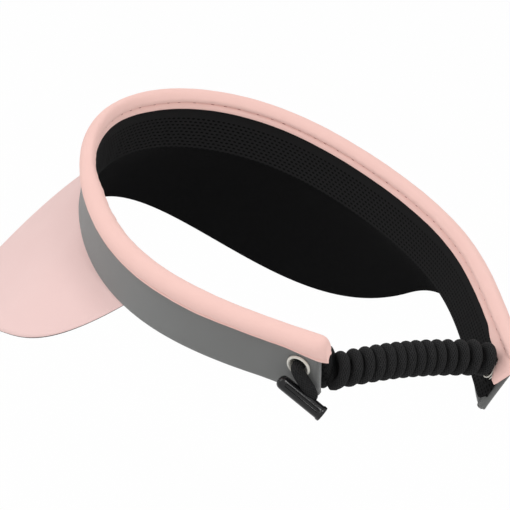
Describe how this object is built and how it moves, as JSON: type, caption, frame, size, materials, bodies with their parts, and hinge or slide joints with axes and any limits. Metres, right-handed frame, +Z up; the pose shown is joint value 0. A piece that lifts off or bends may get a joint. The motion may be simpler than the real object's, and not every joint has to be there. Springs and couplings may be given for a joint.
{
  "type": "golf sun visor",
  "caption": "Open-crowned golf visor with a curved cloth brim, padded band, rolled rim binding and a coiled stretch cord joining the band's ends through eyelets and toggles.",
  "frame": {"origin": "middle of the head opening, level with the middle of the band", "axes": "+Y towards the brim, +X to the wearer's right, +Z up"},
  "size_m": [0.1874, 0.2355, 0.0927],
  "materials": {
    "pink_cloth": "pale pink brushed microfibre cloth, padded over foam",
    "grey_cloth": "smooth mid-grey satin cloth",
    "sweatband_mesh": "black open-hole knitted mesh",
    "black_cloth": "black plain-woven cloth",
    "foam": "open-cell padding foam, taken as light cloth",
    "stiffener_plastic": "flexible plastic strip",
    "board_plastic": "moulded plastic brim board",
    "eyelet_metal": "pale enamelled brass eyelet",
    "black_cord": "black braided elastic cord",
    "toggle_plastic": "moulded gloss black plastic"
  },
  "bodies": {
    "front": {"brim_board": "board_plastic", "brim_top_cover": "pink_cloth", "brim_under_cover": "black_cloth", "front_shell": "grey_cloth", "front_stiffener": "stiffener_plastic", "front_foam": "foam", "front_sweatband": "sweatband_mesh", "front_binding": "pink_cloth", "front_binding_core": "foam"},
    "left_arm": {"left_shell": "grey_cloth", "left_stiffener": "stiffener_plastic", "left_foam": "foam", "left_sweatband": "sweatband_mesh", "left_binding": "pink_cloth", "left_binding_core": "foam", "left_eyelet": "eyelet_metal", "left_washer": "eyelet_metal", "left_coil": "black_cord", "left_coil_tail": "black_cord"},
    "left_toggle": {"left_toggle": "toggle_plastic", "left_cord_end": "black_cord"},
    "right_arm": {"right_shell": "grey_cloth", "right_stiffener": "stiffener_plastic", "right_foam": "foam", "right_sweatband": "sweatband_mesh", "right_binding": "pink_cloth", "right_binding_core": "foam", "right_eyelet": "eyelet_metal", "right_washer": "eyelet_metal", "right_coil": "black_cord", "right_coil_tail": "black_cord"},
    "right_toggle": {"right_toggle": "toggle_plastic", "right_cord_end": "black_cord"}
  },
  "joints": [
    {"name": "left_arm_flex", "type": "hinge", "parent": "front", "child": "left_arm", "pos_m": [-0.06785, -0.01475, -0.00542], "axis": [0, 0, -1], "range_deg": [0, 20], "stiffness_Nm_per_rad": 0.3, "deforming": ["left_coil"]},
    {"name": "right_arm_flex", "type": "hinge", "parent": "front", "child": "right_arm", "pos_m": [0.06785, -0.01475, -0.00542], "axis": [0, 0, 1], "range_deg": [0, 20], "stiffness_Nm_per_rad": 0.3, "deforming": ["right_coil"]},
    {"name": "left_toggle_swing", "type": "hinge", "parent": "left_arm", "child": "left_toggle", "pos_m": [-0.03228, -0.07974, -0.01844], "axis": [-0.7606, -0.5321, -0.372], "range_deg": [-40, 40]},
    {"name": "right_toggle_swing", "type": "hinge", "parent": "right_arm", "child": "right_toggle", "pos_m": [0.04554, -0.07974, -0.02867], "axis": [0.9316, -0.1266, -0.3407], "range_deg": [-40, 40]}
  ]
}
